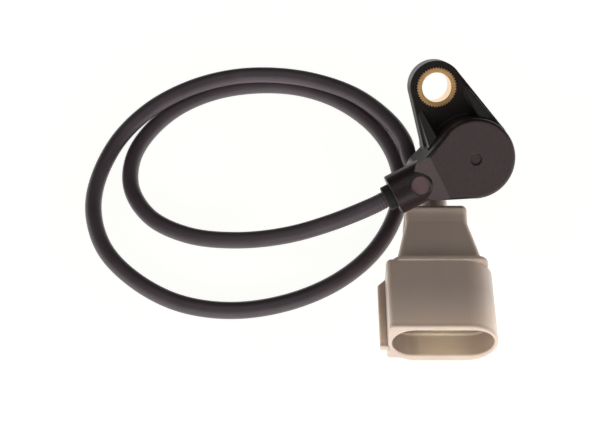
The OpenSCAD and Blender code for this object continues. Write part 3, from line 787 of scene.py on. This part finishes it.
# Painted glow, painted light inside the mouth, then painted shade at its ends.
for amount, code in ((painted_glow.outputs["Color"], "#E6D4C6"), (cavity.outputs["Fac"], "#E8DCC6"),
                     (ends.outputs["Fac"], "#8E7B6E")):
    mixed = add(tree, "ShaderNodeMix", {"data_type": "RGBA"}, {7: linear(code)},
                {0: amount, 6: colour})
    colour = mixed.outputs[2]
feed(tree, shader, Base_Color=colour)
dress(plug, polyamide)
print("made", polyamide.name)

# %% [markdown]
# ## Turned brass
# The bush is turned from brass bar. A lathe leaves fine rings round the axis, uneven in depth, so
# a one-dimensional noise is read at the distance from the axis. They are drawn 0.2 mm apart,
# several times coarser than life. The bore is reamed smooth and mirrors the table. A small function
# gives that distance, and the height along the axis, for any piece that was turned or wound.

# %% Helper: distance from an axis


def round_axis(tree, place, point, way):
    arm = add(tree, "ShaderNodeVectorMath", {"operation": "SUBTRACT"}, {1: point}, {0: place})
    height = add(tree, "ShaderNodeVectorMath", {"operation": "DOT_PRODUCT"}, {1: way},
                 {0: arm.outputs["Vector"]})
    aside = add(tree, "ShaderNodeVectorMath", {"operation": "CROSS_PRODUCT"}, {1: way},
                {0: arm.outputs["Vector"]})
    radius = add(tree, "ShaderNodeVectorMath", {"operation": "LENGTH"},
                 links={0: aside.outputs["Vector"]})
    return radius.outputs["Value"], height.outputs["Value"]


HEAD_AXIS = HEAD.to_3x3() @ Vector((0, 0, 1))
print("sensor axis:", [round(v, 3) for v in HEAD_AXIS])

# %% Material: turned brass
BORE_R, REAM_FROM, REAM_TO = 3.4, 0.02, 0.1
brass, tree, place, shader = start_material("turned_brass", Metallic=1.0)
radius, _ = round_axis(tree, place, on_head(0, EYE_AT, 0), HEAD_AXIS)
rings = add(tree, "ShaderNodeTexNoise", {"noise_dimensions": "1D"},
            {"Scale": per_mm(0.2), "Detail": 3.0}, {"W": radius})
tarnish = add(tree, "ShaderNodeTexNoise", values={"Scale": per_mm(1.5), "Detail": 3.0},
              links={"Vector": place})
tint = add(tree, "ShaderNodeMix", {"data_type": "RGBA"},
           {6: linear("#F0C080"), 7: linear("#FCD096")}, {0: tarnish.outputs["Fac"]})
polish = add(tree, "ShaderNodeMapRange", values={"To Min": 0.52, "To Max": 0.64},
             links={"Value": tarnish.outputs["Fac"]})
reamed = add(tree, "ShaderNodeMapRange", links={"Value": radius}, values={
    "From Min": (BORE_R + REAM_FROM) * MM, "From Max": (BORE_R + REAM_TO) * MM})
sheen = add(tree, "ShaderNodeMix", values={"A": 0.16},
            links={0: reamed.outputs["Result"], "B": polish.outputs["Result"]})
bump = add(tree, "ShaderNodeBump", values={"Strength": 0.8, "Distance": 0.05 * MM},
           links={"Height": rings.outputs["Fac"]})
feed(tree, shader, Base_Color=tint.outputs[2], Roughness=sheen.outputs[0],
     Normal=bump.outputs["Normal"])
print("made", brass.name)

# %% [markdown]
# ## The knurled bush
# The fixing bolt must not crush plastic, so a brass bush takes its load. Its outside is knurled
# between two rollers, and the plastic flows into the teeth. A tree draws a star of 44 points,
# rounds the points, fills the ring between star and bore, and raises it to the bush's height.

# %% Geometry Nodes: bush tree
BUSH_R, ROOT_R, BUSH_H = 4.65, 4.27, 5.15
bush_tree, given = new_tree("knurled_bush", [
    ("Teeth", "Int"), ("Tip Radius", "Float"), ("Root Radius", "Float"), ("Tooth Round", "Float"),
    ("Bore Radius", "Float"), ("Bore Sides", "Int"), ("Height", "Float"), ("Material", "Material")])
tree = bush_tree
star = add(tree, "GeometryNodeCurveStar",
           links={"Points": given["Teeth"], "Inner Radius": given["Root Radius"],
                  "Outer Radius": given["Tip Radius"]})
knurl = add(tree, "GeometryNodeFilletCurve", {"mode": "POLY"}, {"Count": 2},
            {"Curve": star.outputs["Curve"], "Radius": given["Tooth Round"]})
hole = add(tree, "GeometryNodeCurvePrimitiveCircle",
           links={"Radius": given["Bore Radius"], "Resolution": given["Bore Sides"]})
lines = add(tree, "GeometryNodeJoinGeometry", links={0: knurl.outputs["Curve"]})
tree.links.new(hole.outputs["Curve"], lines.inputs[0])
face = add(tree, "GeometryNodeFillCurve", links={"Curve": lines.outputs["Geometry"]})
rise = add(tree, "ShaderNodeCombineXYZ", links={"Z": given["Height"]})
up = add(tree, "GeometryNodeExtrudeMesh", values={"Individual": False},
         links={"Mesh": face.outputs["Mesh"], "Offset": rise.outputs["Vector"]})
base = add(tree, "GeometryNodeFlipFaces", links={"Mesh": face.outputs["Mesh"]})
both = add(tree, "GeometryNodeJoinGeometry", links={0: up.outputs["Mesh"]})
tree.links.new(base.outputs["Mesh"], both.inputs[0])
solid = add(tree, "GeometryNodeMergeByDistance", values={"Distance": SAME_PLACE},
            links={"Geometry": both.outputs["Geometry"]})
close_tree(tree, solid.outputs["Geometry"], given["Material"])
print("nodes in the bush tree:", len(tree.nodes))

# %% Bush piece
bush = run_tree("knurled_bush", bush_tree, bpy.data.meshes.new("bush_seed"), {
    "Teeth": 44, "Tip Radius": BUSH_R * MM, "Root Radius": ROOT_R * MM, "Tooth Round": 0.04 * MM,
    "Bore Radius": BORE_R * MM, "Bore Sides": 96, "Height": BUSH_H * MM, "Material": brass})
bush.data.transform(HEAD @ Matrix.Translation((0, EYE_AT * MM, 0)))
bush.data.shade_smooth()
edge = bush.modifiers.new("broken_edge", "BEVEL")
edge.width = 0.06 * MM
edge.segments = 2
edge.angle_limit = math.radians(60)
flat_faces_flat(bush)
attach(bush, "root")
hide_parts("fixing_bush")
print("bush faces:", len(bush.data.polygons))

# %% [markdown]
# The hot plastic fills the gaps between the teeth, and that black is what makes them show. A plain
# ring of the housing's material lies in the gaps, just below the bush's two ends, and the teeth
# stand through it.

# %% Plastic between the teeth
FILL_LOW, FILL_HIGH = 0.05, 5.0
FILL_OUT, FILL_IN = BUSH_R + 0.02, ROOT_R - 0.1
RING_SIDES = 88
work = bmesh.new()
rings = []
turns = [2 * math.pi * k / RING_SIDES for k in range(RING_SIDES)]
for r, height in ((FILL_OUT, FILL_LOW), (FILL_OUT, FILL_HIGH), (FILL_IN, FILL_HIGH),
                  (FILL_IN, FILL_LOW)):
    rings.append([work.verts.new(on_head(r * math.cos(a), EYE_AT + r * math.sin(a), height))
                  for a in turns])
for a, b in zip(rings, rings[1:] + rings[:1]):
    bridge(work, a, b)
bmesh.ops.recalc_face_normals(work, faces=work.faces)
filling = new_piece("knurl_filling", work)
store_finish(filling)
dress(filling, pbt)
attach(filling, "root")
print("filling faces:", len(filling.data.polygons))

# %% [markdown]
# ## The pick-up inside the spigot
# The CAD solids of the coil set are already as plain as the real pieces, so they are kept and
# only get their finishes. The pole core is soft iron, turned and left bare: a grey metal with
# lathe rings, drawn 0.15 mm apart.

# %% Material: soft iron
iron, tree, place, shader = start_material("turned_soft_iron", Metallic=1.0)
_, height = round_axis(tree, place, on_head(0, 0, 0), HEAD_AXIS)
rings = add(tree, "ShaderNodeTexNoise", {"noise_dimensions": "1D"},
            {"Scale": per_mm(0.15), "Detail": 2.0}, {"W": height})
patina = add(tree, "ShaderNodeTexNoise", values={"Scale": per_mm(1.2), "Detail": 4.0},
             links={"Vector": place})
vary(tree, shader, patina.outputs["Fac"], ("#8A8782", "#A19E99"), (0.3, 0.5),
     (rings.outputs["Fac"], 0.3, 0.02))
dress(nodes["pole_core"], iron)
print("made", iron.name)

# %% [markdown]
# The magnet behind the core is pressed and sintered from ferrite powder. It is a dull charcoal
# ceramic with a fine crystal grain, drawn at 0.15 mm.

# %% Material: sintered ferrite
ferrite, tree, place, shader = start_material("sintered_ferrite", IOR=2.4)
grit = add(tree, "ShaderNodeTexVoronoi", values={"Scale": per_mm(0.15)}, links={"Vector": place})
grit = grit.outputs["Distance"]
vary(tree, shader, grit, ("#2B2B2D", "#434245"), (0.55, 0.8), (grit, 0.3, 0.02))
dress(nodes["bias_magnet"], ferrite)
print("made", ferrite.name)

# %% [markdown]
# The bobbin is moulded in glass-filled polyamide, a dark grey that is more matte than the housing
# because its tool isn't polished. The fibres show as a mottle of 0.4 mm.

# %% Material: glass-filled polyamide
filled, tree, place, shader = start_material("glass_filled_polyamide", IOR=1.55)
fibre = add(tree, "ShaderNodeTexNoise", values={"Scale": per_mm(0.4), "Detail": 4.0},
            links={"Vector": place})
fibre = fibre.outputs["Fac"]
vary(tree, shader, fibre, ("#332E30", "#433D3F"), (0.45, 0.62), (fibre, 0.2, 0.02))
dress(nodes["coil_bobbin"], filled)
print("made", filled.name)

# %% [markdown]
# The winding is enamelled copper wire of under a tenth of a millimetre. Its turns are drawn 0.3 mm
# apart so that they could be seen at all: a sine along the axis, under the clear coat of the
# enamel.
# The colour is darker in the grooves, a painted shade.

# %% Material: enamelled copper
WIRE_PITCH = 0.3
copper, tree, place, shader = start_material(
    "enamelled_copper", Metallic=1.0, Coat_Weight=0.6, Coat_Roughness=0.15)
_, height = round_axis(tree, place, on_head(0, 0, 0), HEAD_AXIS)
phase = add(tree, "ShaderNodeMath", {"operation": "MULTIPLY"},
            {1: 2 * math.pi * per_mm(WIRE_PITCH)}, {0: height})
turns = add(tree, "ShaderNodeMath", {"operation": "SINE"}, links={0: phase.outputs[0]})
crown = add(tree, "ShaderNodeMapRange", values={"From Min": -1.0},
            links={"Value": turns.outputs[0]})
crown = crown.outputs["Result"]
# Darker in the grooves is painted shade; the bump gives the turns their relief.
vary(tree, shader, crown, ("#7E3A1C", "#C9713C"), (0.32, 0.32), (crown, 0.6, 0.06))
dress(nodes["coil_winding"], copper)
print("made", copper.name)

# %% [markdown]
# ## Contacts
# The posts in the bobbin and the three blades in the plug are stamped from bronze strip and tin
# plated. Tin is a soft white metal with a slight haze. Rolling the strip leaves fine streaks, drawn
# 0.2 mm apart and stretched along the plug's axis.

# %% Material: tin-plated bronze
tin, tree, place, shader = start_material("tin_plated_bronze", Metallic=1.0)
rolled = add(tree, "ShaderNodeMapping", values={"Scale": (1.0, 0.06, 1.0)}, links={"Vector": place})
streak = add(tree, "ShaderNodeTexNoise", values={"Scale": per_mm(0.2), "Detail": 2.0},
             links={"Vector": rolled.outputs["Vector"]})
streak = streak.outputs["Fac"]
vary(tree, shader, streak, ("#C6C1B6", "#DBD8D0"), (0.28, 0.45), (streak, 0.15, 0.01))
for name in ("contact_post_1", "contact_post_2", "blade_terminal_1", "blade_terminal_2",
             "blade_terminal_3"):
    dress(nodes[name], tin)
print("made", tin.name)

# %% [markdown]
# ## Cores
# Two cores carry the signal, and a sleeved screen wire keeps it clean. Their insulation is extruded
# PVC in a plain colour, satin, with a slow change of tone over about 1.5 mm.

# %% Materials: PVC insulation
CORES = {
    "pvc_brown": (("#6E332D", "#85413A"), ("head_core_1", "plug_core_1")),
    "pvc_white": (("#CFCABF", "#DEDACF"), ("head_core_2", "plug_core_2")),
    "pvc_black_sleeve": (("#29292B", "#38383A"), ("plug_core_3",)),
}
for name, (shades, cores) in CORES.items():
    material, tree, place, shader = start_material(name, IOR=1.54)
    cloud = add(tree, "ShaderNodeTexNoise", values={"Scale": per_mm(1.5), "Detail": 3.0},
                links={"Vector": place})
    vary(tree, shader, cloud.outputs["Fac"], shades, (0.35, 0.5))
    for core in cores:
        dress(nodes[core], material)
print("made", list(CORES))

# %% [markdown]
# ## What the cable is
# A cable is soft, so a scene may lay it in another way.

# %% [markdown]
# ## The light table
# The photograph's light comes from below and from a low horizon, as on a light table in a white
# cove: upright faces are bright, faces that look up are dim. So the table gives off light. The
# camera and mirror-like surfaces see it as no more than white, with a trace of shadow.

# %% Table
SPAN = 3.0
TABLE_LIGHT, TABLE_SEEN = 1.75, 0.92
floor_mesh = bpy.data.meshes.new("table")
floor_mesh.from_pydata([(-SPAN, -SPAN, 0), (SPAN, -SPAN, 0), (SPAN, SPAN, 0), (-SPAN, SPAN, 0)], [],
                       [(0, 1, 2, 3)])
table = put("table", floor_mesh)
opal = bpy.data.materials.new("opal_acrylic")
opal.use_nodes = True
tree = opal.node_tree
tree.nodes.clear()
ray = add(tree, "ShaderNodeLightPath")
seen = add(tree, "ShaderNodeMath", {"operation": "MAXIMUM"},
           links={0: ray.outputs["Is Camera Ray"], 1: ray.outputs["Is Glossy Ray"]})
seen = add(tree, "ShaderNodeMath", {"operation": "MAXIMUM"},
           links={0: seen.outputs[0], 1: ray.outputs["Is Transmission Ray"]})
strength = add(tree, "ShaderNodeMapRange", values={"To Min": TABLE_LIGHT, "To Max": TABLE_SEEN},
               links={"Value": seen.outputs[0]})
paint = add(tree, "ShaderNodeBsdfDiffuse", values={"Color": linear("#9A9A99")})
glow = add(tree, "ShaderNodeEmission", values={"Color": linear("#FFFFFC")},
           links={"Strength": strength.outputs["Result"]})
both = add(tree, "ShaderNodeAddShader",
           links={0: paint.outputs["BSDF"], 1: glow.outputs["Emission"]})
add(tree, "ShaderNodeOutputMaterial", links={"Surface": both.outputs["Shader"]})
dress(table, opal)
print("table spans", 2 * SPAN, "m")

# %% [markdown]
# The cove is bright near the horizon and dark above. It is brightest to the front, a little to the
# right, and dim behind, which gives the black cable a light side and a dark side. In mirror-like
# surfaces it is weaker and ends lower.

# %% Cove
FRONT, BEHIND_SHARE, FRONT_SHARE = (0.3, -0.95, 0.0), 0.1, 1.4
COVE_LIGHT, COVE_TOP = 1.75, 0.08
MIRROR_LIGHT, MIRROR_TOP = 0.85, 0.06
world = bpy.data.worlds.new("white_cove")
bpy.context.scene.world = world
world.use_nodes = True
tree = world.node_tree
tree.nodes.clear()
ray = add(tree, "ShaderNodeLightPath")
way = add(tree, "ShaderNodeTexCoord")
parts = add(tree, "ShaderNodeSeparateXYZ", links={"Vector": way.outputs["Generated"]})
level = add(tree, "ShaderNodeMapRange", {"interpolation_type": "SMOOTHSTEP"},
            {"From Min": 0.34, "From Max": 0.52, "To Min": COVE_LIGHT, "To Max": COVE_TOP},
            {"Value": parts.outputs["Z"]})
mirrored = add(tree, "ShaderNodeMapRange", {"interpolation_type": "SMOOTHSTEP"},
               {"From Min": 0.17, "From Max": 0.36, "To Min": MIRROR_LIGHT, "To Max": MIRROR_TOP},
               {"Value": parts.outputs["Z"]})
lit = add(tree, "ShaderNodeMix",
          links={0: ray.outputs["Is Glossy Ray"], "A": level.outputs["Result"],
                 "B": mirrored.outputs["Result"]})
facing = add(tree, "ShaderNodeVectorMath", {"operation": "DOT_PRODUCT"}, {1: FRONT},
             {0: way.outputs["Generated"]})
share = add(tree, "ShaderNodeMapRange",
            values={"From Min": -1.0, "To Min": BEHIND_SHARE, "To Max": FRONT_SHARE},
            links={"Value": facing.outputs["Value"]})
lit = add(tree, "ShaderNodeMath", {"operation": "MULTIPLY"},
          links={0: lit.outputs[0], 1: share.outputs["Result"]})
white = add(tree, "ShaderNodeMix", values={"B": 1.0},
            links={0: ray.outputs["Is Camera Ray"], "A": lit.outputs[0]})
shine = add(tree, "ShaderNodeBackground", values={"Color": linear("#FFFFFC")},
            links={"Strength": white.outputs[0]})
add(tree, "ShaderNodeOutputWorld", links={"Surface": shine.outputs["Background"]})
print("nodes in the cove:", len(tree.nodes))

# %% [markdown]
# One weak, large softbox overhead keeps the faces that look up from going black, and gives the
# shadows on the plug's top their soft edge.

# %% Softbox
light = bpy.data.lights.new("overhead_softbox", "AREA")
light.shape = "RECTANGLE"
light.size, light.size_y = 0.8, 0.5
light.energy = 0.56
softbox = put("overhead_softbox", light)
softbox.location = (-0.02, -0.1, 0.8)
softbox.rotation_euler = (math.radians(-7), 0, 0)
bpy.context.scene.view_settings.view_transform = "Standard"
print("softbox of", light.energy, "W")
